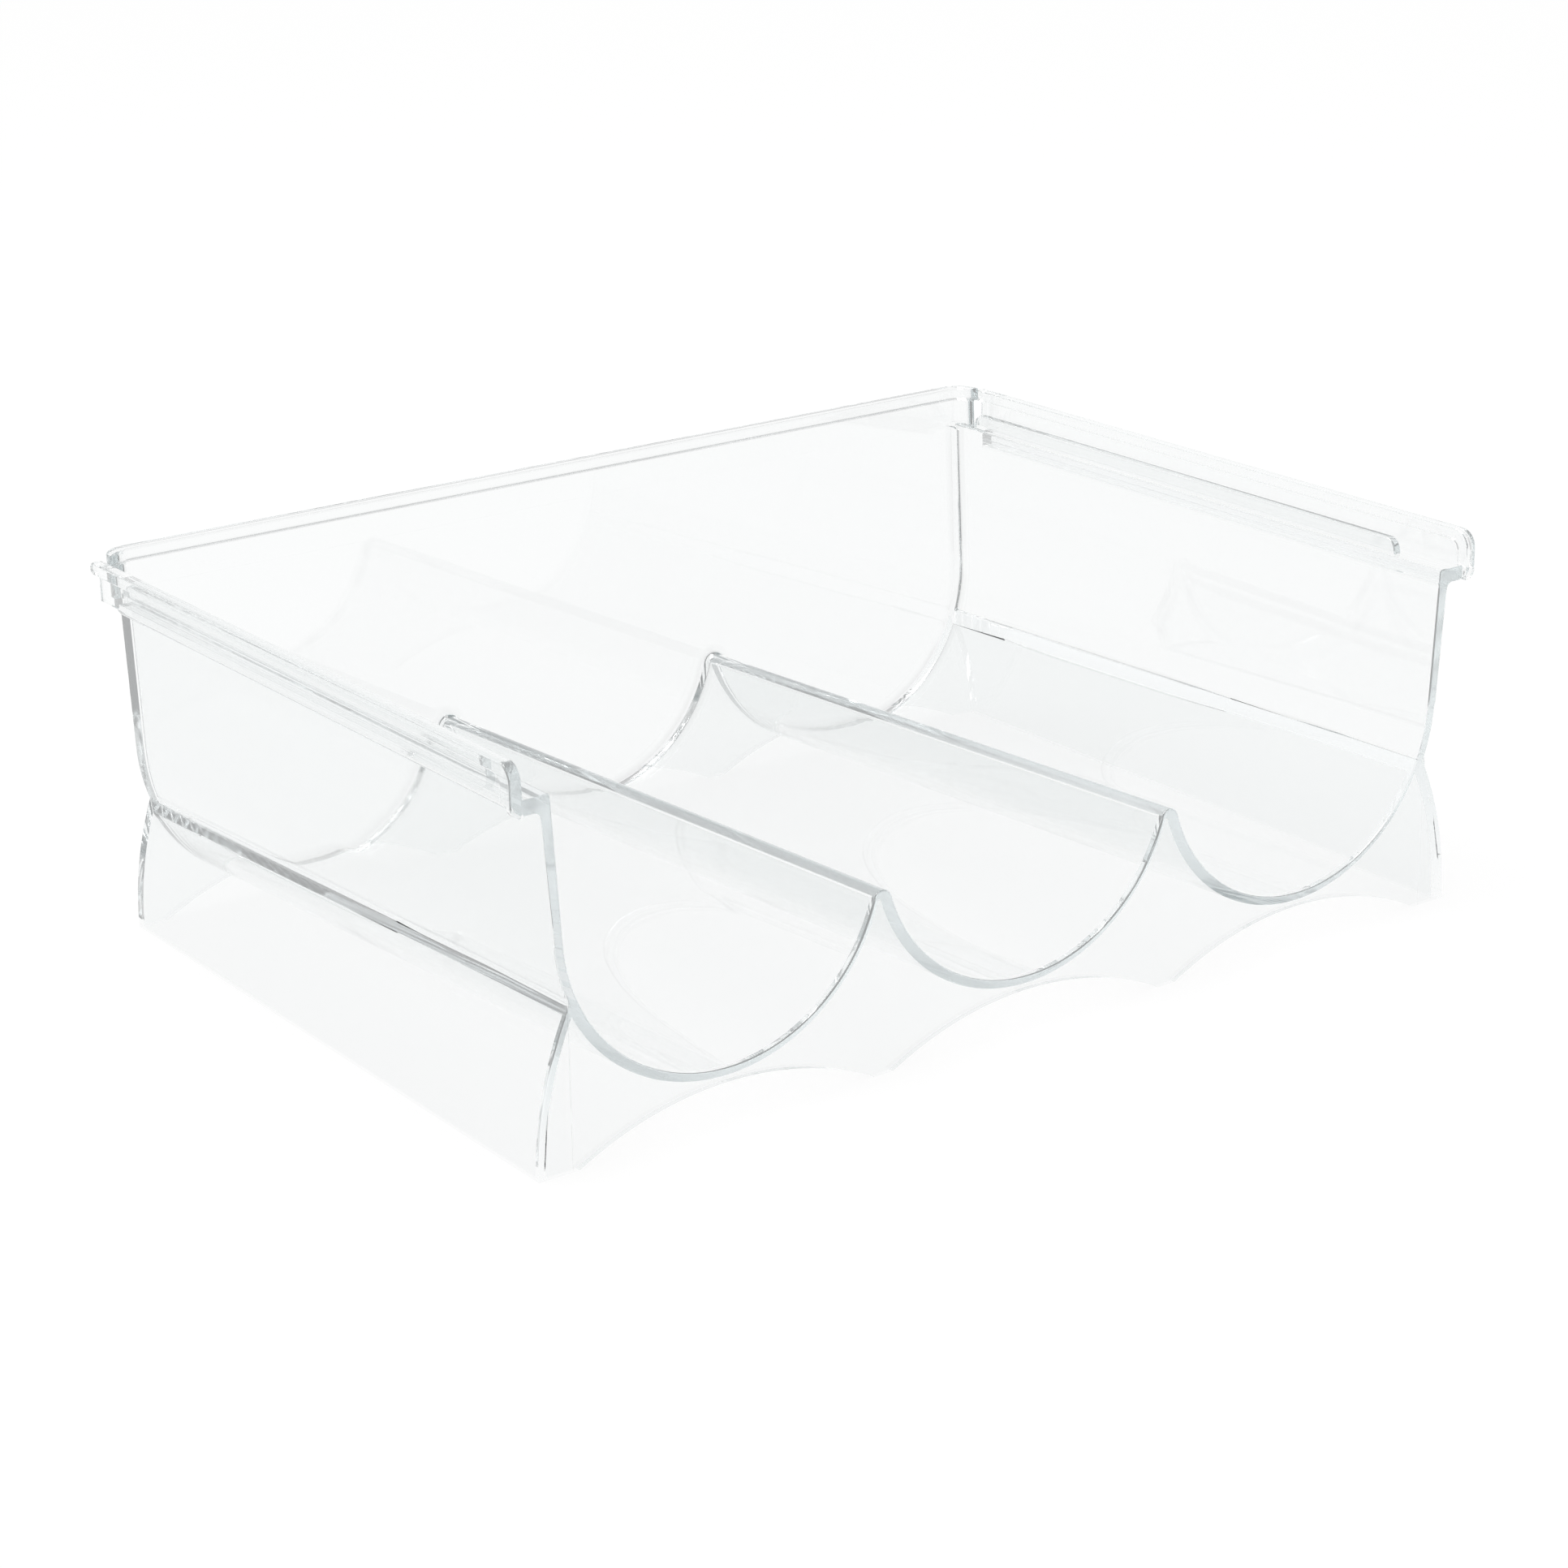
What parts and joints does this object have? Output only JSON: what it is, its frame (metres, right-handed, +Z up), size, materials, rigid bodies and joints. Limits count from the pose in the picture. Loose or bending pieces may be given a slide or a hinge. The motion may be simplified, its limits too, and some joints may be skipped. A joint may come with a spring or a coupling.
{
  "type": "fridge bottle rack",
  "caption": "Clear stackable rack for a fridge shelf with half-round troughs that hold bottles lying down, a closed back, arched skirts as feet and flanged ledges for the next rack.",
  "frame": {"origin": "middle of the rack's footprint, on the surface it stands on", "axes": "+X to the viewer's right when facing the open front, +Y from the open front towards the closed back, +Z up"},
  "size_m": [0.295, 0.2092, 0.1028],
  "materials": {
    "bottle_trough_left": "clear, polished",
    "bottle_trough_middle": "clear, polished",
    "bottle_trough_right": "clear, polished",
    "divider_ridge_left": "clear, polished",
    "divider_ridge_right": "clear, polished",
    "side_wall_left": "clear, polished",
    "side_wall_right": "clear, polished",
    "back_wall": "clear, polished",
    "back_rim": "clear, polished",
    "stacking_ledge_left": "clear, polished",
    "stacking_ledge_right": "clear, polished",
    "rim_flange_left": "clear, polished",
    "rim_flange_right": "clear, polished",
    "stacking_rib_left": "clear, polished",
    "stacking_rib_right": "clear, polished",
    "side_skirt_left": "clear, polished",
    "side_skirt_right": "clear, polished",
    "front_skirt": "clear, polished"
  },
  "bodies": {
    "root": {"bottle_trough_left": "bottle_trough_left", "bottle_trough_middle": "bottle_trough_middle", "bottle_trough_right": "bottle_trough_right", "divider_ridge_left": "divider_ridge_left", "divider_ridge_right": "divider_ridge_right", "side_wall_left": "side_wall_left", "side_wall_right": "side_wall_right", "back_wall": "back_wall", "back_rim": "back_rim", "stacking_ledge_left": "stacking_ledge_left", "stacking_ledge_right": "stacking_ledge_right", "rim_flange_left": "rim_flange_left", "rim_flange_right": "rim_flange_right", "stacking_rib_left": "stacking_rib_left", "stacking_rib_right": "stacking_rib_right", "side_skirt_left": "side_skirt_left", "side_skirt_right": "side_skirt_right", "front_skirt": "front_skirt"}
  },
  "joints": []
}
